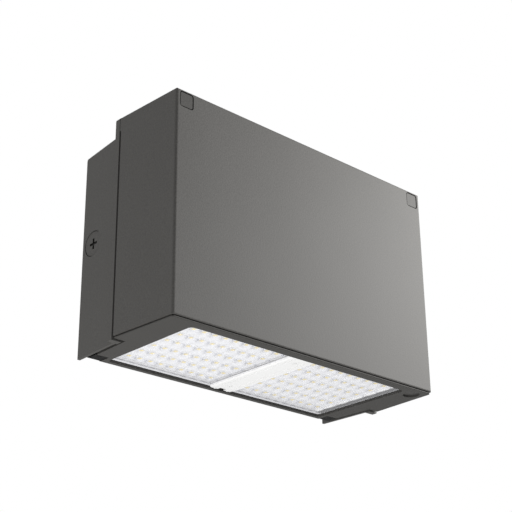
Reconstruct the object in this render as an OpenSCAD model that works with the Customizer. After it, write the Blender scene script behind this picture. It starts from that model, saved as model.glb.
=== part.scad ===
// Full-cutoff LED wall pack light. A die-cast box is fixed to the wall, and a deep
// die-cast door that holds the light engine hangs on two pins at its lower rear edge.
// Millimetres. The origin is the centre of the wire entry, on the wall face. The wall
// is the plane y = 0, the light's front faces -Y, and +Z is up.

/* [Overall] */
// Width of the front face
front_w = 300; // [297:1:330]
// Height of the light
door_h = 200; // [192:1:230]
// Distance from the front face to the wall
total_d = 131; // [130:1:145]
// Thickness of the cast walls
cast_t = 3.2; // [2.8:0.1:3.6]
// Radius of the housing's outer edges
edge_r = 2.4; // [1.5:0.1:3]

/* [Door housing] */
// How far each side wall leans out between the face and the rear rim
side_flare = 3.9; // [2:0.1:5]
// Shadow gap between the door's rim and the box's flange
seam_gap = 1.8; // [1.5:0.1:2.2]
// Height of the rain lip that closes the shadow gap at the top
lip_h = 13.5; // [8:0.5:20]
// Width of the inner ledge that meets the gasket
ledge_w = 1.6; // [1.2:0.1:2]
// Depth of that ledge
ledge_d = 3; // [2:0.5:5]
// Shadow groove between the housing and the bottom frame
groove_h = 1; // [0.8:0.1:1.6]
// How far the bottom frame's lip stands back from the housing's faces
frame_inset = 1; // [0.5:0.1:1.5]

/* [Wall box] */
// Depth of the box behind its flange
box_d = 54.3; // [52:0.1:56]
// Thickness of the flange
band_t = 5.5; // [5:0.1:6.5]
// How far the flange stands out beyond the box's side walls
band_step = 7.2; // [6.6:0.1:8]
// How far the flange stands up beyond the box's top wall
top_step = 8; // [6:0.1:10]
// How far each side wall leans in towards the wall
box_taper = 2.4; // [1:0.1:3]
// How far the top wall slopes down towards the wall
top_taper = 2.8; // [1:0.1:4]
// How far the flange reaches below the door
box_drop = 1; // [0.5:0.1:1.5]
// Height of the space for the light engine under the box's floor
under_h = 16; // [16:0.5:18]
// Thickness of the box's floor
floor_t = 3; // [2.5:0.1:3.5]

/* [Light engine] */
// LED columns on each board
led_cols = 9; // [7:1:9]
// LED rows on each board
led_rows = 6; // [4:1:6]
// Width of the bottom frame beside the lens window
frame_side = 26.38; // [25:0.02:28]
// Radius of the lens window's corners
window_r = 4; // [3:0.5:5]
// Width of the ledge above the outer end of each lens
end_ledge = 3.4; // [2.5:0.1:4]
// Width of the bottom frame in front of the lens window
frame_front = 10; // [9:0.1:12]
// Distance from the middle to each board's first LED column
led_inner_x = 21.5; // [20:0.5:22.5]
// Size of an LED chip
led_s = 3; // [2:0.1:3.5]
// Radius of a lens dome's foot
dome_r = 4.6; // [3:0.1:5]
// Height of a lens dome
dome_h = 1.9; // [1:0.1:2]
// Straight part of a lens dome, from front to back
dome_l = 5.2; // [3:0.1:5.6]
// Thickness of the lens plate
lens_t = 2; // [1.6:0.1:2.2]
// Thickness of the boards
board_t = 1.6; // [1:0.1:2]
// Thickness of the plate that carries the boards
plate_t = 4; // [3.5:0.1:4.5]

/* [Hinge] */
// Radius of the hinge pins
pin_r = 2.5; // [2:0.1:2.8]
// Running clearance of the pins in the hinge blocks
pin_fit = 0.05; // [0.02:0.01:0.1]
// Length of a hinge block along the pin
hinge_l = 12.3; // [10:0.1:13]

/* [Door screws] */
// Size of the square covers in the front face
cover_w = 12.6; // [11.6:0.1:13.6]
// Shadow gap round the square covers
cover_gap = 1; // [0.8:0.1:1.2]
// Radius of the screw shank
screw_r = 2.4; // [2:0.1:2.6]
// Travel of a door screw from loose to home
screw_travel = 7.5; // [6:0.5:8]

/* [Wall fixings] */
// Radius of the wire entry
entry_r = 14; // [11:0.5:15]
// Radius of the thread hole of a conduit entry
conduit_r = 10.67; // [10.5:0.01:10.9]
// Spacing of the outlet box screws, side by side
box_screw_x = 88.9; // [85:0.1:92]
// Spacing of the outlet box screws, one above the other
box_screw_z = 83.3; // [80:0.1:86]
// Radius of the outlet box screw holes
box_screw_r = 2.4; // [2:0.1:2.6]
// Distance of the wall anchors from the box's sides
anchor_in = 29.6; // [25:0.1:40]
// Spacing of the wall anchors, one above the other
anchor_z = 120; // [100:1:130]
// Radius of the wall anchor holes
anchor_r = 3.5; // [3:0.1:4]

/* [Driver] */
// Length of the driver
driver_l = 170; // [150:1:180]
// Height of the driver
driver_h = 50; // [40:1:60]
// Depth of the driver
driver_d = 30; // [25:1:35]

/* [Hidden] */
$fn = 48;
fillet_steps = 5;
slice = 0.02;

// Overrun of cuts, overlap of joined forms, and the clearances
over = 0.5;
bite = 0.4;
fit = 0.3;
thread_gap = 0.1;
seat_fit = 0.02;
pass_gap = 0.4;

// Planes of the door
y_front = -total_d;
band_y = -(box_d + band_t);
rim_y = band_y - seam_gap;
housing_d = rim_y - y_front;
function housing_x(y) = front_w / 2 + side_flare * (y - y_front) / housing_d;
rim_x = housing_x(rim_y);
lip_gap = 0.4;
lip_t = 1.4;
lip_y = band_y - lip_gap;
z_top = door_h / 2;
z_bot = -door_h / 2;
z_foot = z_bot - box_drop;
z_lip = z_top - lip_h;

// Planes of the box
band_proud = 0.3;
band_x = rim_x + band_proud;
band_slope = 0.8;
box_front_x = band_x - band_step;
box_rear_x = box_front_x - box_taper;
box_front_z = z_top - top_step;
box_rear_z = box_front_z - top_taper;
function box_x(y) = box_rear_x - box_taper * y / box_d;
function box_z(y) = box_rear_z - top_taper * y / box_d;
box_corner_r = 4.8;
cheek_t = 2.6;
cheek_x = box_rear_x - cheek_t;
function cheek_in(y) = cheek_x - box_taper * y / box_d;
floor_z = z_bot + under_h;
floor_top = floor_z + floor_t;
floor_lip_h = 4;

// Bottom frame, boards and lenses, from the bottom face up
frame_lip = 1;
shell_z = z_bot + frame_lip + groove_h;
dome_inset = 0.5;
lens_z0 = z_bot + dome_inset + dome_h;
lens_z1 = lens_z0 + lens_t;
seal_t = 1;
board_z0 = lens_z1 + seal_t;
board_z1 = board_z0 + board_t;
led_t = 0.6;
tray_z1 = board_z1 + plate_t;
slot_w = 3;
tray_x = cheek_x - slot_w;
function tray_edge(y) = cheek_in(y) - slot_w;
wall_gap = 6.5;
rail_t = 6.6;
tray_back = -wall_gap;
row_margin = 12.25;
col_margin = 13;
window_y1 = tray_back - rail_t;
window_y0 = y_front + frame_front;
window_x = front_w / 2 - frame_side;
led_pitch_x = (window_x - col_margin - led_inner_x) / (led_cols - 1);
led_pitch_y = (window_y1 - window_y0 - 2 * row_margin) / (led_rows - 1);
lens_gap = 0.4;
lens_y = [window_y0 + lens_gap, window_y1 - lens_gap];
board_y = [lens_y[0] + lens_gap, lens_y[1] - lens_gap];
spine_x = 7;

// Gasket ring between the flange and the door's rim
gasket_in = 1.6;
gasket_w = 3.2;
gasket_r = 4;
gasket_z0 = floor_z + bite;
bulkhead_t = 3;
bulkhead_rise = 2;
bulkhead_z = gasket_z0 + gasket_w + bulkhead_rise;

// Hinge
pivot_in = 7;
pivot_up = 6.5;
pivot_y = tray_back - pivot_in;
pivot_z = z_bot + pivot_up;
pin_pad_t = 1.2;
pin_pad_r = 5.5;
pin_skin = 0.4;
block_front = 7.2;
block_rise = 6;
block_radii = [1, 3, 5, 1];
block_x1 = cheek_x - pin_pad_t - fit;
block_x0 = block_x1 - hinge_l;
block_y = [pivot_y - block_front, tray_back - fit];
block_z = [z_bot + fit, pivot_z + block_rise];
block_skin = 1.7;
notch_x = block_x0 - fit;
notch_y = block_y[0] - fit;
pin_x0 = block_x0 + block_skin;
pin_x1 = box_rear_x - pin_skin;

// Door screws behind the square covers
cover_in_x = 10.8;
cover_in_z = 9.2;
screw_x = front_w / 2 - cover_in_x;
screw_z = z_top - cover_in_z;
seat_d = 24;
seat_y = y_front + seat_d;
chamber_slack = 2.5;
chamber_y = rim_y - screw_travel - chamber_slack;
tap_d = 5;
tip_gap = 0.6;

// Small screws
small_r = 1.5;
tap_r = small_r + thread_gap;
pass_r = small_r + pass_gap;
head = [3, 1.8];
boss_r = 5;

// Names of the sub-parts

// Colours
bronze = "#56544f";
bronze_face = "#7c7a76";
white = "#f2f2f0";
clear = [0.9, 0.95, 1, 0.45];
steel = "#b9bbbd";
rubber = "#1b1b1b";

// A box between two corners, given as a range along each axis
module block(x, y, z)
    translate([x[0], y[0], z[0]]) cube([x[1] - x[0], y[1] - y[0], z[1] - z[0]]);

// Prisms of an outline, along each axis
module along_x(x0, x1)
    translate([x0, 0, 0]) rotate([90, 0, 90]) linear_extrude(x1 - x0) children();
module along_y(y0, y1)
    translate([0, y1, 0]) rotate([90, 0, 0]) linear_extrude(y1 - y0) children();
module along_z(z0, z1)
    translate([0, 0, z0]) linear_extrude(z1 - z0) children();

// Round rods along each axis
module rod_x(r, x0, x1)
    translate([x0, 0, 0]) rotate([0, 90, 0]) cylinder(r = r, h = x1 - x0);
module rod_y(r, y0, y1)
    translate([0, y0, 0]) rotate([-90, 0, 0]) cylinder(r = r, h = y1 - y0);
module rod_z(r, z0, z1)
    translate([0, 0, z0]) cylinder(r = r, h = z1 - z0);

// The same thing on the left and on the right
module on_both_sides() {
    children();
    mirror([1, 0, 0]) children();
}

// At each of a list of places [x, z] on the wall plane, or [x, y] on the floor plane
module at_xz(places) for (p = places) translate([p[0], 0, p[1]]) children();
module at_xy(places) for (p = places) translate([p[0], p[1], 0]) children();
function corners(x, y) = [for (sx = [-1, 1]) for (sy = [-1, 1]) [sx * x, sy * y]];
function rect(x, y) = [[x[0], y[0]], [x[1], y[0]], [x[1], y[1]], [x[0], y[1]]];

// An outline whose corners are arcs: points, and a radius for each corner
function unit(v) = v / norm(v);
function arc_at(a, p, b, r) =
    let (u = unit(a - p), v = unit(b - p), half = acos(u * v) / 2,
         centre = p + unit(u + v) * r / sin(half),
         s = p + u * r / tan(half) - centre, e = p + v * r / tan(half) - centre,
         a0 = atan2(s[1], s[0]), turn = atan2(e[1], e[0]) - a0,
         sweep = turn > 180 ? turn - 360 : turn < -180 ? turn + 360 : turn)
    [for (i = [0:fillet_steps]) let (t = a0 + sweep * i / fillet_steps)
        centre + r * [cos(t), sin(t)]];
function rounded(pts, radii) = let (n = len(pts))
    [for (i = [0:n - 1]) each radii[i] > 0
        ? arc_at(pts[(i + n - 1) % n], pts[i], pts[(i + 1) % n], radii[i]) : [pts[i]]];
function square_outline(w, r) = rounded(rect([-w / 2, w / 2], [-w / 2, w / 2]), [r, r, r, r]);

// A tapered body along Y between two upright outlines
module loft_y(y0, outline0, y1, outline1) hull() {
    along_y(y0, y0 + slice) polygon(outline0);
    along_y(y1 - slice, y1) polygon(outline1);
}

// A round tube swept along a smooth curve through the points of a route
function blend(a, b, c, d, t) =
    (2 * b + (c - a) * t + (2 * a - 5 * b + 4 * c - d) * t * t
        + (3 * b - a - 3 * c + d) * t * t * t) / 2;
function smooth(route, steps) = let (last = len(route) - 1)
    concat([for (i = [0:last - 1]) for (k = [0:steps - 1])
        blend(route[max(i - 1, 0)], route[i], route[i + 1], route[min(i + 2, last)], k / steps)],
        [route[last]]);
function turned(n, t) = unit(n - (n * t) * t);
function normals(ts, i, n) = i == len(ts) ? []
    : let (m = turned(n, ts[i])) concat([m], normals(ts, i + 1, m));
module tube(route, r, sides = 8) {
    last = len(route) - 1;
    ts = [for (i = [0:last]) unit(route[min(i + 1, last)] - route[max(i - 1, 0)])];
    ns = normals(ts, 0, [0, 1, 0]);
    points = [for (i = [0:last]) for (k = [0:sides - 1]) let (a = 360 * k / sides)
        route[i] + r * (cos(a) * ns[i] + sin(a) * cross(ts[i], ns[i]))];
    skin = [for (i = [0:last - 1]) for (k = [0:sides - 1]) let (m = (k + 1) % sides)
        each [[i * sides + k, (i + 1) * sides + m, i * sides + m],
              [i * sides + k, (i + 1) * sides + k, (i + 1) * sides + m]]];
    ends = [[for (k = [0:sides - 1]) k],
        [for (k = [sides - 1:-1:0]) last * sides + k]];
    polyhedron(points, concat(skin, ends));
}

// A cross recess, cut from the plane z = 0 downwards
module cross_recess(l, w, d)
    for (a = [0, 90]) rotate([0, 0, a]) translate([-l / 2, -w / 2, -d]) cube([l, w, d + over]);

// A cross-head screw along -Z, whose head stands on the plane z = 0
cross_share = [1.2, 0.3, 0.5];
module pan_screw(r, l, head_r, head_h) {
    difference() {
        cylinder(r = head_r, h = head_h);
        translate([0, 0, head_h])
            cross_recess(cross_share[0] * head_r, cross_share[1] * head_r, cross_share[2] * head_h);
    }
    translate([0, 0, -l]) cylinder(r = r, h = l + bite);
}

// Wall box

anchor_x = box_rear_x - anchor_in;
anchor_pts = corners(anchor_x, anchor_z / 2);
box_screw_pts = [[-box_screw_x / 2, 0], [box_screw_x / 2, 0],
    [0, -box_screw_z / 2], [0, box_screw_z / 2]];
entry_boss_t = 5;
entry_boss_r = entry_r + entry_boss_t;
entry_boss_d = 10;
pad_half = 56;
pad_t = 1.6;
pad_backing = pad_half + cast_t;
pad_boss_r = 5.5;
hub_r = 14;
hub_d = 12;
conduit_y = -15;
plug_head_r = 11.1;
plug_head_t = 1.5;
plug_gap = 0.6;
spot_d = 1.6;
spot_x = box_rear_x - spot_d;
spot_z = box_rear_z - spot_d;
ground_in = 19;
ground_up = 19;
ground_pos = [[anchor_x - ground_in, floor_top + ground_up]];
ground_boss = 9;
ground_r = 2;
ground_l = 7;
ground_head = [4.4, 3];
terminal_in = 31;
terminal_up = 31;
terminal_pos = [-anchor_x + terminal_in, floor_top + terminal_up];
terminal_boss = 5;
terminal_hole_x = 18;
terminal_pts = [[terminal_pos[0] - terminal_hole_x, terminal_pos[1]],
    [terminal_pos[0] + terminal_hole_x, terminal_pos[1]]];

// Outline of the box's walls at y, set in by a wall; the bottom is open
function box_outline(y, in) = rounded(
    [[-box_x(y) + in, z_bot], [box_x(y) - in, z_bot],
     [box_x(y) - in, box_z(y) - in], [-box_x(y) + in, box_z(y) - in]],
    [0, 0, box_corner_r - in / 2, box_corner_r - in / 2]);

// The flange's top falls away slightly towards the wall
module flange() intersection() {
    along_y(band_y, -box_d)
        polygon(rounded(rect([-band_x, band_x], [z_foot, z_top]), [0, 0, edge_r, edge_r]));
    along_x(-band_x, band_x)
        polygon([[band_y, z_foot], [-box_d, z_foot], [-box_d, z_top - band_slope], [band_y, z_top]]);
}

module box_shell() difference() {
    union() {
        loft_y(-box_d - bite, box_outline(-box_d, 0), 0, box_outline(0, 0));
        flange();
    }
    // Wiring space, open to the door
    difference() {
        loft_y(band_y - over, box_outline(band_y - over, cast_t), -cast_t,
            box_outline(-cast_t, cast_t));
        block([-band_x, band_x], [band_y - 2 * over, 0], [z_foot - over, floor_top]);
    }
    // Space between the cheeks, open to the wall
    along_z(z_foot - over, floor_z) polygon([[-cheek_in(band_y - over), band_y - over],
        [cheek_in(band_y - over), band_y - over], [cheek_in(over), over],
        [-cheek_in(over), over]]);
}

module box_bosses() {
    // Upturned edge of the floor, which meets the gasket
    block([-box_x(band_y) + cast_t - bite, box_x(band_y) - cast_t + bite],
        [band_y, band_y + floor_t], [floor_top - bite, floor_top + floor_lip_h]);
    // Thicker wall behind the outlet box pad, and the wire entry's boss
    block([-pad_backing, pad_backing], [-cast_t - pad_t, -cast_t + bite],
        [-pad_backing, pad_backing]);
    rod_y(entry_boss_r, -entry_boss_d, -cast_t);
    // Hubs of the conduit entries
    on_both_sides() translate([0, conduit_y, 0])
        rod_x(hub_r, box_rear_x - cast_t - hub_d, box_rear_x - spot_d);
    translate([0, conduit_y, 0])
        rod_z(hub_r, box_rear_z - cast_t - hub_d, box_rear_z - spot_d);
    // Bosses for the earth screw and the terminal block
    at_xz(ground_pos) rod_y(pad_boss_r, -cast_t - ground_boss, -cast_t + bite);
    at_xz(terminal_pts) rod_y(pad_boss_r, -cast_t - terminal_boss, -cast_t + bite);
    // Pads that carry the hinge pins
    on_both_sides() translate([0, pivot_y, pivot_z])
        rod_x(pin_pad_r, cheek_x - pin_pad_t, cheek_x + pin_pad_t);
}

module back_box() color(bronze) difference() {
    union() {
        box_shell();
        box_bosses();
    }
    // Recess of the outlet box pad, with the bosses round its holes left standing
    difference() {
        block([-pad_half, pad_half], [-pad_t, over], [-pad_half, pad_half]);
        rod_y(entry_boss_r, -cast_t, 2 * over);
        at_xz(box_screw_pts) rod_y(pad_boss_r, -cast_t, 2 * over);
    }
    rod_y(entry_r, -entry_boss_d - over, over);
    at_xz(box_screw_pts) rod_y(box_screw_r, -cast_t - pad_t - over, over);
    at_xz(anchor_pts) rod_y(anchor_r, -cast_t - over, over);
    // Conduit entries: thread hole and spot face
    on_both_sides() translate([0, conduit_y, 0]) {
        rod_x(conduit_r, box_rear_x - cast_t - hub_d - over, box_front_x);
        rod_x(plug_head_r + plug_gap, spot_x, box_front_x);
    }
    translate([0, conduit_y, 0]) {
        rod_z(conduit_r, box_rear_z - cast_t - hub_d - over, box_front_z);
        rod_z(plug_head_r + plug_gap, spot_z, box_front_z);
    }
    // Tapped holes for the earth screw, the terminal block and the door screws
    at_xz(ground_pos) rod_y(ground_r + thread_gap, -cast_t - ground_boss - over, -cast_t);
    at_xz(terminal_pts) rod_y(tap_r, -cast_t - terminal_boss - over, -cast_t);
    on_both_sides() translate([screw_x, 0, screw_z])
        rod_y(screw_r + thread_gap, band_y - over, band_y + tap_d);
    // Seats of the hinge pins
    on_both_sides() translate([0, pivot_y, pivot_z])
        rod_x(pin_r + seat_fit, cheek_x - pin_pad_t - over, pin_x1);
}

function gasket_ring(in) = let (r = gasket_r + gasket_in - in)
    rounded(rect([-rim_x + in, rim_x - in], [gasket_z0 - gasket_in + in, z_top - in]),
        [r, r, r, r]);
module door_gasket() color(rubber) along_y(rim_y, band_y) difference() {
    polygon(gasket_ring(gasket_in));
    polygon(gasket_ring(gasket_in + gasket_w));
}

module wall_gasket() color("#3a3a3a") difference() {
    block([-pad_half + fit, pad_half - fit], [-pad_t, 0], [-pad_half + fit, pad_half - fit]);
    rod_y(entry_boss_r + fit, -pad_t - over, over);
    at_xz(box_screw_pts) rod_y(pad_boss_r + fit, -pad_t - over, over);
}

// Conduit plugs: the head's underside is the plane z = 0
plug_l = 9;
plug_wall = 3;
plug_cross = [10, 2.4, 1.3];
module conduit_plug() color(bronze) difference() {
    union() {
        cylinder(r = plug_head_r, h = plug_head_t);
        translate([0, 0, -plug_l]) cylinder(r = conduit_r - thread_gap, h = plug_l + bite);
    }
    translate([0, 0, plug_head_t]) cross_recess(plug_cross[0], plug_cross[1], plug_cross[2]);
    translate([0, 0, -plug_l - over])
        cylinder(r = conduit_r - plug_wall, h = plug_l + over - plug_wall / 2);
}
module conduit_plug_right()
    translate([spot_x, conduit_y, 0]) rotate([0, 90, 0]) conduit_plug();
module conduit_plug_left() mirror([1, 0, 0]) conduit_plug_right();
module conduit_plug_top() translate([0, conduit_y, spot_z]) conduit_plug();

module hinge_pin_right() color(steel)
    translate([0, pivot_y, pivot_z]) rod_x(pin_r, pin_x0, pin_x1);
module hinge_pin_left() mirror([1, 0, 0]) hinge_pin_right();

// Terminal block: a foot with two ears, and a body with three wire ports
terminal_w = 46;
terminal_h = 24;
terminal_d = 22;
terminal_foot = 4;
terminal_body_w = 24;
port_pitch = 7.5;
port_r = 2.2;
port_d = 11;
terminal_y = -cast_t - terminal_boss;
module terminal_block() color(white) difference() {
    translate([terminal_pos[0], 0, terminal_pos[1]]) difference() {
        union() {
            block([-terminal_w / 2, terminal_w / 2], [terminal_y - terminal_foot, terminal_y],
                [-terminal_h / 2, terminal_h / 2]);
            block([-terminal_body_w / 2, terminal_body_w / 2],
                [terminal_y - terminal_d, terminal_y], [-terminal_h / 2, terminal_h / 2]);
        }
        for (k = [-1:1]) translate([k * port_pitch, terminal_y - port_d, 0]) {
            rod_z(port_r, -terminal_h, 0);
            rod_y(port_r, -terminal_d, 0);
        }
    }
    at_xz(terminal_pts) rod_y(pass_r, terminal_y - terminal_d, terminal_y + over);
}
module terminal_screws() color(steel)
    at_xz(terminal_pts) translate([0, terminal_y - terminal_foot, 0])
        rotate([90, 0, 0]) pan_screw(small_r, terminal_foot + terminal_boss, head[0], head[1]);

ground_slot = 0.8;
module ground_screw() color("#2f7d46")
    at_xz(ground_pos) translate([0, -cast_t - ground_boss, 0]) rotate([90, 0, 0]) {
        difference() {
            cylinder(r = ground_head[0], h = ground_head[1], $fn = 6);
            translate([-ground_head[0], -ground_slot / 2, ground_head[1] / 2])
                cube([2 * ground_head[0], ground_slot, ground_head[1]]);
        }
        translate([0, 0, -ground_l]) cylinder(r = ground_r, h = ground_l + bite);
    }

// Door

rib_w = 2;
rib_d = 3.4;
rib_top = 16;
rib_places_share = [-0.84, -0.3, 0.3, 0.84];
tab_t = 3;
tab_w = 14;
tab_rise = 2;
tab_z = floor_z + tab_rise;
front_tab_in = 50;
front_tab_x = front_w / 2 - front_tab_in;
front_tab_d = 17;
side_tab_ahead = 18.4;
side_tab_y = rim_y - side_tab_ahead;
side_tab_in = 10;
side_tab_x = front_w / 2 - side_tab_in;
front_tab_y = y_front + cast_t + front_tab_d - tab_w / 2;
tray_screw_pts = [[-front_tab_x, front_tab_y], [front_tab_x, front_tab_y],
    [-side_tab_x, side_tab_y], [side_tab_x, side_tab_y]];
bracket_gap = 6.8;
bracket_t = 1.5;
bracket_y = y_front + cast_t + bracket_gap;
bracket_z = 6;
bracket_ear = 14;
bracket_in = 5;
bracket_pts = [for (p = corners(driver_l / 2 + bracket_ear, driver_h / 2 - bracket_in))
    [p[0], bracket_z + p[1]]];

function housing_outline(y, in) = rounded(
    [[-housing_x(y) + in, shell_z - over], [housing_x(y) - in, shell_z - over],
     [housing_x(y) - in, z_top - in], [-housing_x(y) + in, z_top - in]],
    [0, 0, max(edge_r - in, bite), max(edge_r - in, bite)]);

// The skin: a flared body with rounded front edges, back to the rain lip's edge
module housing_skin() intersection() {
    loft_y(y_front, housing_outline(y_front, 0), lip_y, housing_outline(lip_y, 0));
    along_z(shell_z, z_top) polygon(rounded(
        [[-housing_x(y_front), y_front], [housing_x(y_front), y_front],
         [housing_x(lip_y), lip_y], [-housing_x(lip_y), lip_y]], [edge_r, edge_r, 0, 0]));
    along_x(-band_x, band_x) polygon(rounded(
        rect([y_front, lip_y], [shell_z, z_top]), [edge_r / 2, 0, 0, edge_r]));
}

module housing_shell() difference() {
    housing_skin();
    // Inside of the shell, then the narrower mouth inside the gasket ledge
    loft_y(y_front + cast_t, housing_outline(y_front + cast_t, cast_t),
        rim_y - ledge_d, housing_outline(rim_y - ledge_d, cast_t));
    along_y(rim_y - ledge_d - over, 0)
        polygon(rect([-rim_x + cast_t + ledge_w, rim_x - cast_t - ledge_w],
            [shell_z - over, z_top - cast_t - ledge_w]));
    along_y(rim_y - ledge_d - over, 0)
        polygon(rect([-rim_x + cast_t, rim_x - cast_t], [shell_z - over, bulkhead_z + fit]));
    // The rim stands back from the flange, but for the rain lip along the top
    block([-band_x, band_x], [rim_y, 0], [z_bot, z_lip]);
    along_y(rim_y, 0) polygon(housing_outline(rim_y, lip_t));
}

// Column behind each square cover, with the screw's bore through it
cover_inset = 0.4;
cover_r = 1.8;
pocket_d = 4.4;
pocket_wall = 2.3;
pocket_floor = 1.8;
column_r = 7;
bore_r = 5.2;
chamber_r = 4.3;
module screw_column() translate([screw_x, 0, screw_z]) {
    rod_y(column_r, y_front + cast_t - bite, rim_y);
    along_y(y_front + cast_t - bite, y_front + pocket_d + pocket_floor)
        polygon(square_outline(cover_w + 2 * pocket_wall, cover_r));
}
module screw_column_bores() translate([screw_x, 0, screw_z]) {
    along_y(y_front - over, y_front + pocket_d)
        polygon(square_outline(cover_w + 2 * cover_gap, cover_r + cover_gap));
    rod_y(bore_r, y_front, seat_y);
    rod_y(screw_r + pass_gap, y_front, rim_y);
    rod_y(chamber_r, chamber_y, rim_y + over);
}

module housing_tabs() {
    at_xz(bracket_pts) rod_y(boss_r, y_front + cast_t - bite, bracket_y);
    for (s = rib_places_share)
        block([s * front_w / 2 - rib_w / 2, s * front_w / 2 + rib_w / 2],
            [y_front + cast_t - bite, y_front + cast_t + rib_d], [floor_top, z_top - rib_top]);
    on_both_sides() {
        block([front_tab_x - tab_w / 2, front_tab_x + tab_w / 2],
            [y_front + cast_t - bite, y_front + cast_t + front_tab_d], [tab_z, tab_z + tab_t]);
        block([side_tab_x - tab_w / 2, housing_x(side_tab_y - tab_w / 2) - cast_t / 2],
            [side_tab_y - tab_w / 2, side_tab_y + tab_w / 2], [tab_z, tab_z + tab_t]);
    }
}

module front_housing() color(bronze_face) difference() {
    union() {
        housing_shell();
        on_both_sides() screw_column();
        housing_tabs();
    }
    on_both_sides() screw_column_bores();
    at_xz(bracket_pts) rod_y(tap_r, y_front + cast_t, bracket_y + over);
    at_xy(tray_screw_pts) rod_z(pass_r, tab_z - over, tab_z + tab_t + over);
}

// Bottom frame: full width in front of the flange, narrower between the cheeks,
// with a notch for each hinge block
frame_skin = 3;
frame_wall = 3.2;
rail_r = 3;
vent_in_x = 12.8;
vent_in_y = 13.6;
vent_pos = [front_w / 2 - vent_in_x, y_front + vent_in_y];
vent_r = 7.4;
vent_flange = 0.7;
vent_rim_t = 1.4;
vent_deep = 1.8;
wire_hole_r = 5;
wire_hole_in = 20;
wire_hole_y = window_y0 + wire_hole_in;
tongue = 1.1;
tongue_y = [window_y0 + window_r, window_y1 - window_r];
boss_tap_d = 6;
hinge_tap_d = 3.2;
cover_screw_in = [12, 14];
cover_screw_pts = [[0, window_y0 + cover_screw_in[0]], [0, window_y1 - cover_screw_in[1]]];
cover_tap_d = 3.2;
hinge_tab_l = 12;
hinge_tab_w = 6;
hinge_tab_t = 2.4;
hinge_screw_pts = [for (s = [-1, 1])
    [s * (notch_x - hinge_tab_l / 2), block_y[0] + hinge_tab_w / 2]];

function tray_outline(in) = rounded(
    [[-housing_x(y_front) + in, y_front + in], [housing_x(y_front) - in, y_front + in],
     [rim_x - in, rim_y], [tray_edge(rim_y), rim_y], [tray_edge(notch_y), notch_y],
     [notch_x, notch_y], [notch_x, tray_back], [-notch_x, tray_back], [-notch_x, notch_y],
     [-tray_edge(notch_y), notch_y], [-tray_edge(rim_y), rim_y], [-rim_x + in, rim_y]],
    [edge_r, edge_r, 0, 0, 0, 0, 0, 0, 0, 0, 0, 0]);

module tray_frame() intersection() {
    union() {
        along_z(z_bot, z_bot + frame_lip) polygon(tray_outline(frame_inset));
        along_z(z_bot + frame_lip - bite, tray_z1) polygon(tray_outline(cast_t + fit));
    }
    along_x(-band_x, band_x) polygon(rounded(
        rect([y_front + frame_inset, tray_back], [z_bot, tray_z1]),
        [frame_lip, rail_r, bite, 0]));
}

module tray_pockets() on_both_sides() {
    block([window_x + frame_wall, front_w / 2 - cast_t - 2 * frame_wall],
        [y_front + cast_t + frame_wall, rim_y - frame_wall], [z_bot + frame_skin, tray_z1 + over]);
    block([window_x + frame_wall, tray_x - frame_wall],
        [rim_y, notch_y - frame_wall], [z_bot + frame_skin, tray_z1 + over]);
}

module led_tray() color(bronze) difference() {
    union() {
        difference() {
            tray_frame();
            tray_pockets();
        }
        at_xy(tray_screw_pts) rod_z(boss_r, tray_z1 - bite, tab_z);
        at_xy([for (p = tray_screw_pts) if (abs(p[0]) > window_x) p])
            rod_z(boss_r, z_bot + frame_skin - bite, tray_z1);
        // Bulkhead that meets the gasket below the box's floor
        block([-rim_x + cast_t + ledge_w, rim_x - cast_t - ledge_w],
            [rim_y - bulkhead_t, rim_y], [tray_z1 - bite, bulkhead_z]);
    }
    // Window, with a pocket for the boards and a slot at each end for the lens tongues
    along_z(z_bot - over, lens_z1) polygon(rounded(
        rect([-window_x, window_x], [window_y0, window_y1]),
        [window_r, window_r, window_r, window_r]));
    block([-window_x + end_ledge, window_x - end_ledge], [window_y0, window_y1],
        [lens_z1 - over, board_z1]);
    block([-window_x - tongue, window_x + tongue], tongue_y, [lens_z0, lens_z1]);
    translate([vent_pos[0], vent_pos[1], 0]) {
        rod_z(vent_r + thread_gap, z_bot - over, z_bot + frame_skin + over);
        rod_z(vent_r + vent_flange + fit, z_bot + frame_skin, tray_z1 + over);
    }
    translate([0, wire_hole_y, 0]) rod_z(wire_hole_r, board_z1 - over, tray_z1 + over);
    at_xy(cover_screw_pts) rod_z(tap_r, board_z1 - over, board_z1 + cover_tap_d);
    at_xy(hinge_screw_pts) rod_z(tap_r, tray_z1 - hinge_tap_d, tray_z1 + over);
    at_xy(tray_screw_pts) rod_z(tap_r, tab_z - boss_tap_d, tab_z + over);
}

tray_screw_l = 8;
module tray_screws() color(steel) at_xy(tray_screw_pts)
    translate([0, 0, tab_z + tab_t]) pan_screw(small_r, tray_screw_l, head[0], head[1]);

// Boards, LEDs and lenses: the right module is drawn, the left is its mirror
led_pts = [for (i = [0:led_cols - 1]) for (j = [0:led_rows - 1])
    [led_inner_x + i * led_pitch_x, window_y0 + row_margin + j * led_pitch_y]];
board_x = [spine_x + fit, window_x - end_ledge - lens_gap];
lens_x = [spine_x + 2 * fit, window_x - lens_gap];
lens_r = window_r - lens_gap;
seal_w = 3;
module led_board_right() color(white) block(board_x, board_y, [board_z0, board_z1]);
module led_board_left() mirror([1, 0, 0]) led_board_right();
module leds_right() color("#f2dd8c") at_xy(led_pts)
    translate([-led_s / 2, -led_s / 2, board_z0 - led_t]) cube([led_s, led_s, led_t]);
module leds_left() mirror([1, 0, 0]) leds_right();

module lens_gasket_right() color(white) along_z(lens_z1, board_z0) difference() {
    polygon(rect([board_x[0] + seal_w, board_x[1]], board_y));
    polygon(rect([board_x[0] + 2 * seal_w, board_x[1] - seal_w],
        [board_y[0] + seal_w, board_y[1] - seal_w]));
}
module lens_gasket_left() mirror([1, 0, 0]) lens_gasket_right();

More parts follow.
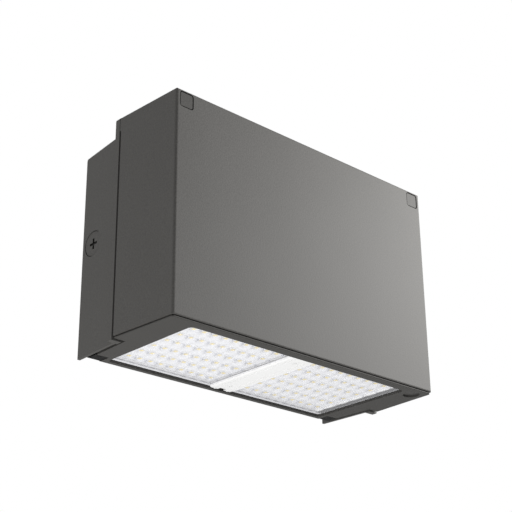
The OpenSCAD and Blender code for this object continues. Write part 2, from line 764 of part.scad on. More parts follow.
// A dome is a cap below the plane z = 0, drawn out from front to back
dome_ball = (dome_r * dome_r + dome_h * dome_h) / (2 * dome_h);
module dome() intersection() {
    translate([0, 0, dome_ball - dome_h]) {
        for (s = [-1, 1]) translate([0, s * dome_l / 2, 0]) sphere(r = dome_ball);
        rod_y(dome_ball, -dome_l / 2, dome_l / 2);
    }
    translate([-dome_r, -dome_r - dome_l / 2, -dome_h - over])
        cube([2 * dome_r, 2 * dome_r + dome_l, dome_h + over + bite / 2]);
}
module lens_right() color(clear) union() {
    along_z(lens_z0, lens_z1) polygon(rounded(rect(lens_x, lens_y), [0, lens_r, lens_r, 0]));
    block([lens_x[1] - bite, window_x + tongue - fit], [tongue_y[0] + fit, tongue_y[1] - fit],
        [lens_z0 + fit, lens_z1]);
    at_xy(led_pts) translate([0, 0, lens_z0]) dome();
}
module lens_left() mirror([1, 0, 0]) lens_right();

// Cover of the wires between the two modules, with bevelled sides and two ridges along it
cover_half = 12.5;
cover_t = 1.2;
cover_side = 0.3;
cover_bevel = 1.4;
cover_wall = 1.6;
cover_z0 = lens_z0 - cover_t;
cover_boss_r = 3.2;
cover_head = [2.8, 0.9];
cover_notch = [7, 4];
ridge_w = 1.6;
ridge_h = 0.4;
ridge_x = 7.2;
wire_notch_w = 7;
module center_cover() color(white) difference() {
    union() {
        along_y(lens_y[0], lens_y[1]) polygon([[-cover_half, lens_z0],
            [-cover_half, lens_z0 - cover_side], [-cover_half + cover_bevel, cover_z0],
            [cover_half - cover_bevel, cover_z0], [cover_half, lens_z0 - cover_side],
            [cover_half, lens_z0]]);
        on_both_sides() block([spine_x - cover_wall, spine_x], lens_y, [lens_z0 - bite, board_z1]);
        on_both_sides() block([ridge_x - ridge_w / 2, ridge_x + ridge_w / 2], lens_y,
            [cover_z0 - ridge_h, cover_z0 + bite]);
        at_xy(cover_screw_pts) rod_z(cover_boss_r, lens_z0 - bite, board_z1);
    }
    block([-cover_notch[0] / 2, cover_notch[0] / 2], [lens_y[1] - cover_notch[1], lens_y[1] + over],
        [cover_z0 - over, lens_z0 + over]);
    // Way for the leads, under the hole in the plate
    block([-spine_x - over, spine_x + over],
        [wire_hole_y - wire_notch_w / 2, wire_hole_y + wire_notch_w / 2],
        [lens_z1, board_z1 + over]);
    at_xy(cover_screw_pts) {
        rod_z(pass_r, cover_z0 - over, board_z1 + over);
        rod_z(cover_head[0] + thread_gap, cover_z0 - over, cover_z0 + cover_head[1]);
    }
}
module cover_screws() color(steel) at_xy(cover_screw_pts)
    translate([0, 0, cover_z0 + cover_head[1]]) rotate([180, 0, 0])
        pan_screw(small_r, board_z1 + cover_tap_d - fit - cover_z0 - cover_head[1],
            cover_head[0], cover_head[1]);

vent_holes = 6;
vent_hole_r = 0.5;
module vent_plug() color("#3d3c3a") translate([vent_pos[0], vent_pos[1], z_bot]) difference() {
    union() {
        translate([0, 0, vent_deep]) cylinder(r = vent_r, h = frame_skin - vent_deep + bite);
        translate([0, 0, frame_skin]) cylinder(r = vent_r + vent_flange, h = vent_rim_t);
    }
    for (a = [1:vent_holes]) rotate([0, 0, 360 * a / vent_holes]) translate([vent_r / 2, 0, 0])
        cylinder(r = vent_hole_r, h = frame_skin + vent_rim_t + over);
}

// Hinge blocks: the pin's bore is blind, and a tab is screwed down on the plate
module hinge_block_right() color(rubber) difference() {
    union() {
        along_x(block_x0, block_x1) polygon(rounded(rect(block_y, block_z), block_radii));
        block([notch_x - hinge_tab_l, block_x0 + bite],
            [block_y[0], block_y[0] + hinge_tab_w], [tray_z1, tray_z1 + hinge_tab_t]);
    }
    translate([0, pivot_y, pivot_z]) rod_x(pin_r + pin_fit, pin_x0 - fit, block_x1 + over);
    at_xy(hinge_screw_pts) rod_z(pass_r, tray_z1 - over, tray_z1 + hinge_tab_t + over);
}
module hinge_block_left() mirror([1, 0, 0]) hinge_block_right();
module hinge_screws() color(steel) at_xy(hinge_screw_pts)
    translate([0, 0, tray_z1 + hinge_tab_t])
        pan_screw(small_r, hinge_tab_t + hinge_tap_d - fit, head[0], head[1]);

// Driver on its bracket, inside the front of the housing
driver_y = [bracket_y + bracket_t, bracket_y + bracket_t + driver_d];
driver_r = 2;
module driver_bracket() color(steel) difference() {
    union() {
        block([-driver_l / 2 - bracket_ear - boss_r, driver_l / 2 + bracket_ear + boss_r],
            [bracket_y, bracket_y + bracket_t],
            [bracket_z - driver_h / 2, bracket_z + driver_h / 2]);
        // A bent edge that the driver stands on
        block([-driver_l / 2, driver_l / 2], [bracket_y, driver_y[1]],
            [bracket_z - driver_h / 2 - bracket_t, bracket_z - driver_h / 2]);
    }
    at_xz(bracket_pts) rod_y(pass_r, bracket_y - over, bracket_y + bracket_t + over);
}
driver_z = [bracket_z - driver_h / 2, bracket_z + driver_h / 2];
cap_l = 9;
cap_step = 0.8;
module driver() color("#e9e9e6") {
    // A folded case between two moulded end caps
    along_x(-driver_l / 2 + cap_l - bite, driver_l / 2 - cap_l + bite)
        polygon(rounded(rect([driver_y[0], driver_y[1] - cap_step],
            [driver_z[0], driver_z[1] - cap_step]), [0, 0, driver_r, 0]));
    on_both_sides() along_x(driver_l / 2 - cap_l, driver_l / 2)
        polygon(rounded(rect(driver_y, driver_z), [0, driver_r, driver_r, 0]));
}
driver_screw_l = 6;
module driver_screws() color(steel) at_xz(bracket_pts)
    translate([0, bracket_y + bracket_t, 0]) rotate([-90, 0, 0])
        pan_screw(small_r, driver_screw_l, head[0], head[1]);

// Leads from the driver's left end, down through the plate to the boards' inner edges
lead_r = 1.1;
lead_part = 1.6;
lead_steps = 2;
lead_out = 3;
lead_over = 1.6;
// The way from the driver's end to the hole: shares of the distance across, in and down
lead_shares = [[1.003, 1, 0], [1.09, 1, 0], [1.19, 1, 0.05], [1.25, 1, 0.14], [1.26, 1, 0.27],
    [1.22, 1, 0.44], [1.13, 1, 0.58], [0.96, 0.7, 0.69], [0.78, 0.35, 0.76], [0.59, 0.1, 0.83],
    [0.42, 0, 0.9], [0.26, 0, 0.96], [0.11, 0, 0.99], [0.02, 0, 1]];
lead_way = [-driver_l / 2, -lead_out, bracket_z - tray_z1 - lead_over - lead_r];
lead_route = [for (p = lead_shares) [p[0] * lead_way[0], wire_hole_y + p[1] * lead_way[1],
    bracket_z - p[2] * lead_way[2]]];
// From there through the plate, and into the slot beside each board: [across, down]
lead_end_shares = [[0, 0.6], [0.25, 1.15], [0.57, 1.3], [1.03, 1.3]];
module led_leads() color("#b03030") for (s = [-1, 1]) translate([0, s * lead_part, 0])
    tube(smooth(concat(lead_route, [for (p = lead_end_shares)
        [s * p[0] * spine_x, wire_hole_y, tray_z1 - p[1] * plate_t]]), lead_steps), lead_r);

// Door screws, drawn in the loose position that lets the door swing
screw_head = [4.6, 5];
screw_cross = [6, 1.4, 2.2];
screw_y = seat_y - screw_travel;
screw_tip = band_y + tap_d - tip_gap - screw_travel;
module captive_screw_right() color(steel) translate([screw_x, 0, screw_z]) difference() {
    union() {
        rod_y(screw_head[0], screw_y - screw_head[1], screw_y);
        rod_y(screw_r, screw_y - bite, screw_tip);
    }
    translate([0, screw_y - screw_head[1], 0]) rotate([90, 0, 0])
        cross_recess(screw_cross[0], screw_cross[1], screw_cross[2]);
}
module captive_screw_left() mirror([1, 0, 0]) captive_screw_right();
washer_r = 3.9;
washer_t = 1;
washer_y = chamber_y + fit;
module screw_retainer_right() color(steel) translate([screw_x, 0, screw_z]) difference() {
    rod_y(washer_r, washer_y, washer_y + washer_t);
    rod_y(screw_r + seat_fit, washer_y - over, washer_y + washer_t + over);
}
module screw_retainer_left() mirror([1, 0, 0]) screw_retainer_right();

// Square covers: a plate on the pocket's floor, and a hollow stem in the bore
stem_r = bore_r - fit;
stem_l = 3;
stem_t = 1.2;
module screw_cover_right() color(bronze) translate([screw_x, 0, screw_z]) {
    along_y(y_front + cover_inset, y_front + pocket_d) polygon(square_outline(cover_w, cover_r));
    difference() {
        rod_y(stem_r, y_front + pocket_d - bite, y_front + pocket_d + stem_l);
        rod_y(stem_r - stem_t, y_front + pocket_d, y_front + pocket_d + stem_l + over);
    }
}
module screw_cover_left() mirror([1, 0, 0]) screw_cover_right();

back_box();
door_gasket();
wall_gasket();
conduit_plug_left();
conduit_plug_right();
conduit_plug_top();
hinge_pin_left();
hinge_pin_right();
terminal_block();
terminal_screws();
ground_screw();
front_housing();
led_tray();
tray_screws();
led_board_left();
led_board_right();
leds_left();
leds_right();
lens_gasket_left();
lens_gasket_right();
lens_left();
lens_right();
center_cover();
cover_screws();
vent_plug();
hinge_block_left();
hinge_block_right();
hinge_screws();
driver_bracket();
driver();
driver_screws();
led_leads();
captive_screw_left();
captive_screw_right();
screw_retainer_left();
screw_retainer_right();
screw_cover_left();
screw_cover_right();
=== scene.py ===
import math

import bpy
from mathutils import Matrix, Vector


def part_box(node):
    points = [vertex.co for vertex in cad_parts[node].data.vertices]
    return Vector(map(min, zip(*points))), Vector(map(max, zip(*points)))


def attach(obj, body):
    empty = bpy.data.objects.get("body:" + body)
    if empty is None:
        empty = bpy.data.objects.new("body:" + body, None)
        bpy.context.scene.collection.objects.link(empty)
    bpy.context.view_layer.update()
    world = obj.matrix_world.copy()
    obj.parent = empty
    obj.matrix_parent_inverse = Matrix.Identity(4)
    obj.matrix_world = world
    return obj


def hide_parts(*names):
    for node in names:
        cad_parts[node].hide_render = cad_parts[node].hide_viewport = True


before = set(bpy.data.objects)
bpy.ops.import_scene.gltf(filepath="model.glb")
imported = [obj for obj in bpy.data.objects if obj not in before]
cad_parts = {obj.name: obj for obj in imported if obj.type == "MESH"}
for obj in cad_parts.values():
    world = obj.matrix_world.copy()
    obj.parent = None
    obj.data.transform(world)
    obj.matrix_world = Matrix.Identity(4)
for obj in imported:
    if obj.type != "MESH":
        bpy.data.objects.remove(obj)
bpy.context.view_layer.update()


# The view: a long lens a little over a metre away, below and to the left of the light,
# as someone sees it who stands at the corner of a wall and looks up.
camera_data = bpy.data.cameras.new("camera")
camera_data.lens = 88.292
camera_data.sensor_width = 36
camera = bpy.data.objects.new("camera", camera_data)
right = Vector((0.7371858, -0.6756341, -0.0086999))
up = Vector((-0.2663237, -0.3023714, 0.9152285))
ahead = Vector((0.6209902, 0.6723764, 0.4028413))
camera.matrix_world = Matrix((
    (right.x, up.x, -ahead.x, -0.7015927),
    (right.y, up.y, -ahead.y, -0.8213576),
    (right.z, up.z, -ahead.z, -0.4399643),
    (0, 0, 0, 1)))
bpy.context.scene.collection.objects.link(camera)
bpy.context.scene.camera = camera
bpy.context.scene.view_settings.view_transform = "Standard"


# Leads from the driver to the boards: two stranded copper wires in silicone, 2.2 mm thick,
# red for plus and black for minus. They leave the driver's left end, drop behind the plate and
# pass its hole, and each ends at a board's inner edge, where it is soldered.
lead_diameter = 0.0022
lead_spacing = 0.0032
lead_way = [(-0.08526, -0.104, 0.006), (-0.09265, -0.104, 0.006), (-0.10115, -0.104, 0.00138),
            (-0.10625, -0.104, -0.00692), (-0.1071, -0.104, -0.01892),
            (-0.1037, -0.104, -0.03461), (-0.09605, -0.104, -0.04753),
            (-0.0816, -0.1031, -0.05769), (-0.0663, -0.10205, -0.06415),
            (-0.05015, -0.1013, -0.07061), (-0.0357, -0.101, -0.07707),
            (-0.0221, -0.101, -0.08261), (-0.00935, -0.101, -0.08538),
            (-0.0017, -0.101, -0.0863)]
lead_end = [(0, -0.101, -0.0914), (0.00175, -0.101, -0.0936), (0.00399, -0.101, -0.0942),
            (0.00721, -0.101, -0.0942)]


def lead(name, side, points):
    """A wire from the driver's end to the board on that side, on one smooth curve."""
    line = bpy.data.curves.new(name, "CURVE")
    line.dimensions = "3D"
    # The bevel is 1 deep, so each point's radius is the wire's own
    line.bevel_depth = 1
    line.bevel_resolution = 3
    line.resolution_u = 6
    line.use_fill_caps = True
    spline = line.splines.new("BEZIER")
    spline.bezier_points.add(len(points) - 1)
    for knot, (x, y, z) in zip(spline.bezier_points, points):
        knot.co = (x, y + side * lead_spacing / 2, z)
        knot.radius = lead_diameter / 2
        knot.handle_left_type = knot.handle_right_type = "AUTO"
    wire = bpy.data.objects.new(name, line)
    bpy.context.scene.collection.objects.link(wire)
    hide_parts("led_leads")
    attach(wire, "door")
    return wire


red_lead = lead("led_lead_red", 1, lead_way + lead_end)
black_lead = lead("led_lead_black", -1, lead_way + [(-x, y, z) for x, y, z in lead_end])


# The room: even pale light from all round, and a white background where the camera,
# a reflection or a clear lens looks past the light.
def add(tree, kind, inputs=(), **settings):
    """A node of that kind. Each input is a value, or the output of another node."""
    node = tree.nodes.new("ShaderNode" + kind)
    for name, value in settings.items():
        setattr(node, name, value)
    for name, value in dict(inputs).items():
        if isinstance(value, bpy.types.NodeSocket):
            tree.links.new(value, node.inputs[name])
        else:
            node.inputs[name].default_value = value
    return node


def linear(hex_colour):
    """The linear colour of an sRGB hex value such as "#5a5855"."""
    parts = [int(hex_colour[i:i + 2], 16) / 255 for i in (1, 3, 5)]
    return tuple(c / 12.92 if c < 0.04045 else ((c + 0.055) / 1.055) ** 2.4 for c in parts) + (1,)


def white_where_seen(tree):
    """1 for the rays that see the background itself: the camera's, and those of gloss and glass."""
    path = add(tree, "LightPath")
    seen = add(tree, "Math", {0: path.outputs["Is Camera Ray"],
                              1: path.outputs["Is Glossy Ray"]}, operation="MAXIMUM")
    return add(tree, "Math", {0: seen.outputs[0], 1: path.outputs["Is Transmission Ray"]},
               operation="MAXIMUM").outputs[0]


room = bpy.data.worlds.new("room")
room.use_nodes = True
tree = room.node_tree
tree.nodes.clear()
fill = add(tree, "Background", {"Color": linear("#fdfdff"), "Strength": 0.5})
white = add(tree, "Background", {"Color": linear("#ffffff"), "Strength": 1.0})
mix = add(tree, "MixShader", {0: white_where_seen(tree), 1: fill.outputs[0], 2: white.outputs[0]})
add(tree, "OutputWorld", {"Surface": mix.outputs[0]})
bpy.context.scene.world = room

# The floor: pale matt concrete, 1.5 m below the light, which hangs on a wall that isn't drawn.
# It glows a little where it is seen itself, which brings it nearer to the white background.
floor_side = 12
floor_level = -1.5
bpy.ops.object.select_all(action="DESELECT")
bpy.ops.mesh.primitive_plane_add(size=floor_side, location=(0, 0, floor_level))
floor = bpy.context.object
floor.name = "floor"
concrete = bpy.data.materials.new("pale_matt_floor")
concrete.use_nodes = True
tree = concrete.node_tree
tree.nodes.clear()
matt = add(tree, "BsdfDiffuse", {"Color": linear("#f6f6f5")})
glow = add(tree, "Emission", {"Color": linear("#ffffff"), "Strength": 0.3})
both = add(tree, "AddShader", {0: matt.outputs[0], 1: glow.outputs[0]})
mix = add(tree, "MixShader", {0: white_where_seen(tree), 1: matt.outputs[0], 2: both.outputs[0]})
add(tree, "OutputMaterial", {"Surface": mix.outputs[0]})
floor.data.materials.append(concrete)


# The lamps: a small soft box close by on the right, which draws the sheen across the front
# face, a broad one at the left and behind for the side walls, and one below for the window.
def soft_box(name, place, aim, size, watts):
    """A white rectangular lamp at a place, turned to what it aims at."""
    data = bpy.data.lights.new(name, "AREA")
    data.shape = "RECTANGLE"
    data.size, data.size_y = size
    data.energy = watts
    lamp = bpy.data.objects.new(name, data)
    lamp.location = place
    lamp.rotation_mode = "QUATERNION"
    lamp.rotation_quaternion = (Vector(aim) - Vector(place)).to_track_quat("-Z", "Y")
    bpy.context.scene.collection.objects.link(lamp)


soft_box("lamp_right", (0.52, -0.5, 0.17), aim=(0.1, -0.13, 0.05), size=(0.25, 0.4), watts=13.5)
soft_box("lamp_left", (-1.5, 0.9, 0.5), aim=(-0.15, -0.06, 0), size=(1.0, 1.4), watts=8.5)
soft_box("lamp_below", (-0.6, -0.2, -1.05), aim=(0, -0.06, -0.1), size=(0.7, 0.6), watts=10)


# Die-cast housing, box, bottom frame and covers: aluminium under a polyester powder coat,
# baked on. The powder flows into a fine orange peel, so the gloss breaks up softly.
def new_material(name, colour, roughness, metallic=0.0, **sockets):
    """A material whose main shader has these values, its tree and that shader."""
    material = bpy.data.materials.new(name)
    material.use_nodes = True
    tree = material.node_tree
    shader = tree.nodes["Principled BSDF"]
    shader.inputs["Base Color"].default_value = linear(colour)
    shader.inputs["Roughness"].default_value = roughness
    shader.inputs["Metallic"].default_value = metallic
    for socket, value in sockets.items():
        shader.inputs[socket.replace("_", " ")].default_value = value
    return material, tree, shader


def dress(material, *nodes):
    """Gives CAD nodes their finish."""
    for name in nodes:
        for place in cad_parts[name].material_slots:
            place.material = material


# Sizes of patterns are in millimetres. The coat's real grain is about 0.4 mm, too fine to show
coat_drift = 71.43
coat_grain = 1.25


def powder_coat(name, colour, darker, lighter, roughness, peel):
    """The coat's tone drifts by a few per cent, and its peel is drawn three times too coarse."""
    material, tree, shader = new_material(name, colour, roughness, Specular_IOR_Level=0.1)
    where = add(tree, "TexCoord").outputs["Object"]
    drift = add(tree, "TexNoise", {"Vector": where, "Scale": 1000 / coat_drift, "Detail": 3})
    grain = add(tree, "TexNoise", {"Vector": where, "Scale": 1000 / coat_grain, "Detail": 2})
    tone = add(tree, "MixRGB", {"Fac": drift.outputs["Fac"], "Color1": linear(darker),
                                "Color2": linear(lighter)})
    speck = add(tree, "MapRange", {"Value": grain.outputs["Fac"], "From Min": 0.3,
                                   "From Max": 0.7, "To Min": 0.86, "To Max": 1.14})
    coat = add(tree, "VectorMath", {0: tone.outputs[0], 1: speck.outputs[0]}, operation="MULTIPLY")
    tree.links.new(coat.outputs[0], shader.inputs["Base Color"])
    gloss = add(tree, "MapRange", {"Value": grain.outputs["Fac"], "To Min": roughness - 0.08,
                                   "To Max": roughness + 0.08})
    tree.links.new(gloss.outputs[0], shader.inputs["Roughness"])
    bump = add(tree, "Bump", {"Height": grain.outputs["Fac"], "Strength": peel,
                              "Distance": 0.0004})
    tree.links.new(bump.outputs[0], shader.inputs["Normal"])
    return material


bronze = ("#484745", "#464543", "#4a4947")
dress(powder_coat("polyester_powder_coat_on_die_cast_aluminium", *bronze, 0.62, 0.25),
      "front_housing", "back_box")
# painted shade: the bottom frame faces down and carries the housing's coat, painted darker
dress(powder_coat("powder_coat_on_bottom_frame_darkened_as_shade", "#403f3d", "#3e3d3b", "#42413f",
                  0.62, 0.25), "led_tray")
# painted shade: the caps carry the same coat as the box, painted darker because their inset faces
# lie in shade
dress(powder_coat("powder_coat_on_caps_darkened_as_shade", "#3e3d3b", "#3c3b39", "#403f3d",
                  0.6, 0.18), "screw_cover_left", "screw_cover_right")


# Conduit plugs: die-cast and coated as the box is, and screwed into its sides and top. Below
# the face, in the cross recess and round the head, the coat is painted dark as shade.
recess_shade_starts, recess_shade_full = 0.0002, 0.0005


def plug_coat(name, axis, face):
    """The box's coat, with painted shade that darkens it from 0.2 mm to 0.5 mm below the plug's
    face.
    """
    material = powder_coat(name, *bronze, 0.62, 0.25)
    tree = material.node_tree
    base = tree.nodes["Principled BSDF"].inputs["Base Color"]
    coat = base.links[0].from_socket
    place = add(tree, "SeparateXYZ", {"Vector": add(tree, "TexCoord").outputs["Object"]})
    reach = add(tree, "Math", {0: place.outputs[axis]}, operation="ABSOLUTE")
    depth = add(tree, "MapRange", {"Value": reach.outputs[0], "From Min": face - recess_shade_full,
                                   "From Max": face - recess_shade_starts, "To Min": 1.0, "To Max": 0.0},
                clamp=True)
    # painted shade: near black in the cross recess and round the head, below the plug's face
    painted_recess_shade = add(tree, "MixRGB", {"Fac": depth.outputs[0], "Color1": coat,
                                "Color2": linear("#141312")})
    tree.links.new(painted_recess_shade.outputs[0], base)
    return material


dress(plug_coat("powder_coat_on_side_plugs", "X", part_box("conduit_plug_right")[1][0]),
      "conduit_plug_left", "conduit_plug_right")
dress(plug_coat("powder_coat_on_top_plug", "Z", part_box("conduit_plug_top")[1][2]),
      "conduit_plug_top")


# Hinge blocks: glass-filled nylon, moulded in black. The glass gives a matt, streaky skin, and
# ribs 1.5 mm apart run round them. The wave pattern has 20 / tau waves for each unit of scale.
def mottled(name, colour, darker, lighter, grain, detail, roughness, metallic=0.0, **sockets):
    """A material whose colour drifts between two tones in grains of that many millimetres, its
    tree, its main shader and the pattern."""
    material, tree, shader = new_material(name, colour, roughness, metallic, **sockets)
    where = add(tree, "TexCoord").outputs["Object"]
    pattern = add(tree, "TexNoise", {"Vector": where, "Scale": 1000 / grain, "Detail": detail})
    tone = add(tree, "MixRGB", {"Fac": pattern.outputs["Fac"], "Color1": linear(darker),
                                "Color2": linear(lighter)})
    tree.links.new(tone.outputs[0], shader.inputs["Base Color"])
    return material, tree, shader, pattern


rib_pitch = 0.001496
nylon, tree, shader, streak = mottled("glass_filled_nylon_moulded", "#070707", "#030303",
                                      "#0d0d0d", grain=2, detail=4, roughness=0.65,
                                      Specular_IOR_Level=0.12)
where = add(tree, "TexCoord").outputs["Object"]
rib = add(tree, "TexWave", {"Vector": where, "Scale": math.tau / 20 / rib_pitch,
                            "Distortion": 0.0})
height = add(tree, "Math", {0: rib.outputs["Fac"], 1: streak.outputs["Fac"]}, operation="ADD")
bump = add(tree, "Bump", {"Height": height.outputs[0], "Strength": 0.5, "Distance": 0.0004})
tree.links.new(bump.outputs[0], shader.inputs["Normal"])
dress(nylon, "hinge_block_left", "hinge_block_right")


# Vent plug: polyamide, moulded in dark grey and screwed into the frame. Its membrane lets the
# housing breathe. The mould was spark eroded, which leaves a dull grain, drawn coarser than it is.
vent_skin, tree, shader, spark = mottled("polyamide_moulded_dark_grey", "#3d3c3a", "#3a3937",
                                         "#403f3d", grain=0.667, detail=2, roughness=0.55,
                                         Specular_IOR_Level=0.3)
bump = add(tree, "Bump", {"Height": spark.outputs["Fac"], "Strength": 0.2, "Distance": 0.0002})
tree.links.new(bump.outputs[0], shader.inputs["Normal"])
dress(vent_skin, "vent_plug")


# Door gasket: extruded silicone rubber, vulcanised at its corners and pressed between the
# box's flange and the door. It is black and matt, with a slight unevenness.
skin_grain = 3.33
silicone, tree, shader = new_material("silicone_rubber_extruded", "#1b1b1b", 0.6)
where = add(tree, "TexCoord").outputs["Object"]
skin = add(tree, "TexNoise", {"Vector": where, "Scale": 1000 / skin_grain, "Detail": 3})
bump = add(tree, "Bump", {"Height": skin.outputs["Fac"], "Strength": 0.15, "Distance": 0.0003})
tree.links.new(bump.outputs[0], shader.inputs["Normal"])
dress(silicone, "door_gasket")


# Wall gasket: EPDM foam, cut from sheet and pressed between the box and the wall. Its closed
# cells, about a millimetre across, leave a dull, pitted face.
foam_cell = 1.11
foam, tree, shader = new_material("epdm_foam_closed_cell", "#2b2b2b", 0.9)
where = add(tree, "TexCoord").outputs["Object"]
cells = add(tree, "TexVoronoi", {"Vector": where, "Scale": 1000 / foam_cell})
bump = add(tree, "Bump", {"Height": cells.outputs["Distance"], "Strength": 0.6,
                          "Distance": 0.0005})
tree.links.new(bump.outputs[0], shader.inputs["Normal"])
dress(foam, "wall_gasket")


# Screws, pins and the driver's bracket: steel under bright zinc, a thin plated layer whose
# grey drifts slightly between blue and yellow.
zinc, tree, shader, haze = mottled("zinc_plated_steel", "#b4b4b0", "#a9abae", "#bfbdb4",
                                   grain=8.33, detail=4, roughness=0.32, metallic=1.0)
rough = add(tree, "MapRange", {"Value": haze.outputs["Fac"], "To Min": 0.24, "To Max": 0.42})
tree.links.new(rough.outputs[0], shader.inputs["Roughness"])
dress(zinc, "hinge_pin_left", "hinge_pin_right", "terminal_screws", "tray_screws",
      "hinge_screws", "driver_bracket", "driver_screws", "captive_screw_left",
      "captive_screw_right", "screw_retainer_left", "screw_retainer_right")


# Terminal block, the cover between the lenses and its screws: polycarbonate, moulded in white
# in a polished tool, so it is even and slightly glossy.
moulded, *_ = mottled("polycarbonate_moulded_white", "#e2e2e1", "#dfdfde", "#e5e5e4",
                      grain=16.7, detail=2, roughness=0.35)
dress(moulded, "terminal_block", "center_cover", "cover_screws")


# Lens gaskets: white silicone rubber, moulded in one flat ring for each lens, 3 mm wide, and
# pressed between the board and the lens, which it beds into by a tenth of a millimetre. The
# rubber is a soft, even white.
seal_skin, *_ = mottled("silicone_rubber_moulded_white", "#fbfbfb", "#f6f6f6", "#ffffff",
                        grain=2.5, detail=2, roughness=0.5)

seal_width = 0.003
seal_bed = 0.0001
seal_rounding = 0.0002
# A face is level where its normal is further than this along Z
level = 0.9


def pick(kind, chosen):
    """Selects those edges or faces of the active mesh that pass the test, for the next edit."""
    mesh = bpy.context.object.data
    bpy.ops.object.mode_set(mode="EDIT")
    bpy.ops.mesh.select_mode(type=kind)
    bpy.ops.mesh.select_all(action="DESELECT")
    bpy.ops.object.mode_set(mode="OBJECT")
    for part in mesh.edges if kind == "EDGE" else mesh.polygons:
        part.select = chosen(part)
    bpy.ops.object.mode_set(mode="EDIT")


def copy_across(name, low, high):
    """Copies the active piece, which has that box, to its place on the light's other side."""
    bpy.ops.object.duplicate()
    copy = bpy.context.object
    copy.name = name
    bpy.ops.transform.translate(value=(-low[0] - high[0], 0, 0))
    bpy.ops.object.transform_apply(location=True, rotation=False, scale=False)
    return copy


low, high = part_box("lens_gasket_left")
low[2] -= seal_bed
bpy.ops.object.select_all(action="DESELECT")
bpy.ops.mesh.primitive_cube_add(size=1, location=[(a + b) / 2 for a, b in zip(low, high)],
                                scale=[b - a for a, b in zip(low, high)])
left_seal = bpy.context.object
left_seal.name = "lens_seal_left"
bpy.ops.object.transform_apply(location=True, rotation=False, scale=True)
left_seal.data.materials.append(seal_skin)
pick("FACE", lambda face: abs(face.normal.z) > level)
bpy.ops.mesh.inset(thickness=seal_width)
bpy.ops.mesh.bridge_edge_loops()
bpy.ops.object.mode_set(mode="OBJECT")
rounding = left_seal.modifiers.new("rounding", "BEVEL")
rounding.width = seal_rounding
rounding.segments = 2
bpy.ops.object.modifier_apply(modifier="rounding")
right_seal = copy_across("lens_seal_right", low, high)
for seal, gasket in ((left_seal, "lens_gasket_left"), (right_seal, "lens_gasket_right")):
    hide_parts(gasket)
    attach(seal, "door")


# Boards: aluminium core under white solder mask, which is printed and cured and leaves the face
# slightly glossy. Each lies flat against the plate of the bottom frame.
mask, *_ = mottled("white_solder_mask_on_aluminium_core", "#eff0f3", "#ecedf1", "#f2f3f5",
                   grain=2.5, detail=2, roughness=0.35)
dress(mask, "led_board_left", "led_board_right")


# LEDs: 54 packages on each board, 3.6 mm square. Each is a white ceramic body round a square of
# yellow phosphor in silicone, which is poured in and stands a little proud, and is soldered
# flat on the board.
ceramic, *_ = mottled("white_ceramic_led_body", "#f4f4f2", "#efefec", "#f9f9f8",
                      grain=0.4, detail=2, roughness=0.4)
phosphor, *_ = mottled("phosphor_in_silicone", "#ffe45c", "#ffe054", "#ffe864",
                       grain=0.333, detail=2, roughness=0.4)

chip_side = 0.003
led_side = 0.0036
led_corner = 0.0002
led_rim = 0.0001
phosphor_rise = 0.0001
led_counts = (9, 6)
lowest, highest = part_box("leds_right")
first = [edge + chip_side / 2 for edge in lowest[:2]]
led_height = highest[2] - lowest[2]
led_step = [(highest[axis] - lowest[axis] - chip_side) / (count - 1)
            for axis, count in enumerate(led_counts)]


def upright(edge):
    """Whether an edge of the LED's body runs up from its face to the board."""
    top, bottom = (leds.data.vertices[end].co.z for end in edge.vertices)
    return abs(top - bottom) > led_height / 2


bpy.ops.object.select_all(action="DESELECT")
bpy.ops.mesh.primitive_cube_add(size=1, location=(*first, highest[2] - led_height / 2),
                                scale=(led_side, led_side, led_height))
leds = bpy.context.object
leds.name = "led_packages_right"
bpy.ops.object.transform_apply(location=True, rotation=False, scale=True)
for material in (ceramic, phosphor):
    leds.data.materials.append(material)
# The corners are rounded, then the lower face is set in for the phosphor
pick("EDGE", upright)
bpy.ops.mesh.bevel(offset=led_corner, segments=2)
pick("FACE", lambda face: face.normal.z < -level)
bpy.ops.mesh.inset(thickness=led_rim, depth=0)
leds.active_material_index = 1
bpy.ops.object.material_slot_assign()
bpy.ops.mesh.inset(thickness=led_rim, depth=phosphor_rise)
bpy.ops.object.mode_set(mode="OBJECT")
for axis, count in enumerate(led_counts):
    row = leds.modifiers.new("row", "ARRAY")
    row.count = count
    row.use_relative_offset = False
    row.use_constant_offset = True
    row.constant_offset_displace = [led_step[axis] if i == axis else 0 for i in range(3)]
    bpy.ops.object.modifier_apply(modifier="row")

left_leds = copy_across("led_packages_left", lowest, highest)
for board_leds, chips in ((leds, "leds_right"), (left_leds, "leds_left")):
    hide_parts(chips)
    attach(board_leds, "door")


# Lens plates: clear polycarbonate, injection moulded in a polished tool. Seen through it, the
# board pales. The side of each dome that faces front and right is painted grey-blue shade, and
# is less clear. The rear and inner rims, under the frame's rail and the cover, are painted white
# and less clear, as painted light in their shade. The plastic's flow leaves faint waves, whose
# size is in millimetres.
flow_size = 6.67
lens, tree, shader = new_material("clear_polycarbonate_optic", "#f1f1f3", 0.12, IOR=1.585)
where = add(tree, "TexCoord")
# painted shade: where the normal faces front and right, the dome turns grey-blue and less clear
facing_shade_side = add(tree, "VectorMath", {0: where.outputs["Normal"], 1: (0.71, -0.7, 0.1)},
             operation="DOT_PRODUCT")
painted_shade_side = add(tree, "MapRange", {"Value": facing_shade_side.outputs["Value"], "From Min": 0.1,
                               "From Max": 0.5}, clamp=True)
tone = add(tree, "MixRGB", {"Fac": painted_shade_side.outputs[0], "Color1": linear("#f1f1f3"),
                            "Color2": linear("#b6b8c3")})
tree.links.new(tone.outputs[0], shader.inputs["Base Color"])
shade_veil = add(tree, "MapRange", {"Value": painted_shade_side.outputs[0], "To Min": 0.26, "To Max": 0.52})
place = add(tree, "SeparateXYZ", {"Vector": where.outputs["Object"]})
across = add(tree, "Math", {0: place.outputs["X"]}, operation="ABSOLUTE")
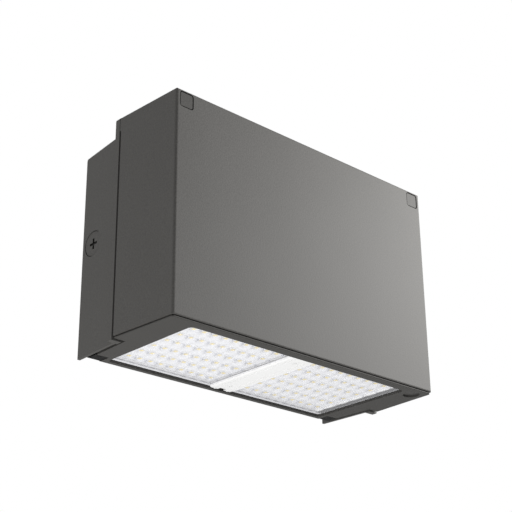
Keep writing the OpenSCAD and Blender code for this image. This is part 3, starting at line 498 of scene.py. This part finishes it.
inner_rim, rear_rim = (0.0155, 0.0145), (-0.0178, -0.0168)
shade_and_light_alpha = shade_veil.outputs[0]
for line, (clear, painted_light_full) in ((across.outputs[0], inner_rim), (place.outputs["Y"], rear_rim)):
    # painted light: the rims under the rail and the cover turn white and less clear, in their shade
    painted_light_band = add(tree, "MapRange", {"Value": line, "From Min": clear, "From Max": painted_light_full,
                                  "To Min": 0.0, "To Max": 0.85}, clamp=True)
    shade_and_light_alpha = add(tree, "Math", {0: shade_and_light_alpha, 1: painted_light_band.outputs[0]}, operation="MAXIMUM").outputs[0]
tree.links.new(shade_and_light_alpha, shader.inputs["Alpha"])
flow = add(tree, "TexNoise", {"Vector": where.outputs["Object"], "Scale": 1000 / flow_size,
                              "Detail": 2})
bump = add(tree, "Bump", {"Height": flow.outputs["Fac"], "Strength": 0.05, "Distance": 0.0003})
tree.links.new(bump.outputs[0], shader.inputs["Normal"])
dress(lens, "lens_left", "lens_right")


# Driver: a folded aluminium case, painted white and potted inside, between two end caps. The
# paint is sprayed on and has a faint orange peel.
paint_grain = 1.43
case, tree, shader, _ = mottled("painted_aluminium_driver_case", "#dededb", "#d9d9d5", "#e4e4e1",
                                grain=33.3, detail=2, roughness=0.4)
where = add(tree, "TexCoord").outputs["Object"]
peel = add(tree, "TexNoise", {"Vector": where, "Scale": 1000 / paint_grain, "Detail": 2})
bump = add(tree, "Bump", {"Height": peel.outputs["Fac"], "Strength": 0.12, "Distance": 0.0003})
tree.links.new(bump.outputs[0], shader.inputs["Normal"])
dress(case, "driver")


# The leads' silicone insulation, extruded round the copper in red and in black: matt, with a
# faint bloom that pales it in places.
for wire, name, colour, bloom in (
        (red_lead, "silicone_insulation_red", "#a3241c", "#b23a30"),
        (black_lead, "silicone_insulation_black", "#19191a", "#262627")):
    sheath, *_ = mottled(name, colour, colour, bloom, grain=4, detail=3, roughness=0.5)
    wire.data.materials.append(sheath)


# Earth screw: steel, zinc plated and dyed green, as wiring rules ask. The dye is thin, so its
# green drifts.
green, *_ = mottled("green_dyed_steel", "#2f7d46", "#27713d", "#3a8a52", grain=4, detail=3,
                    roughness=0.35, metallic=0.7)
dress(green, "ground_screw")
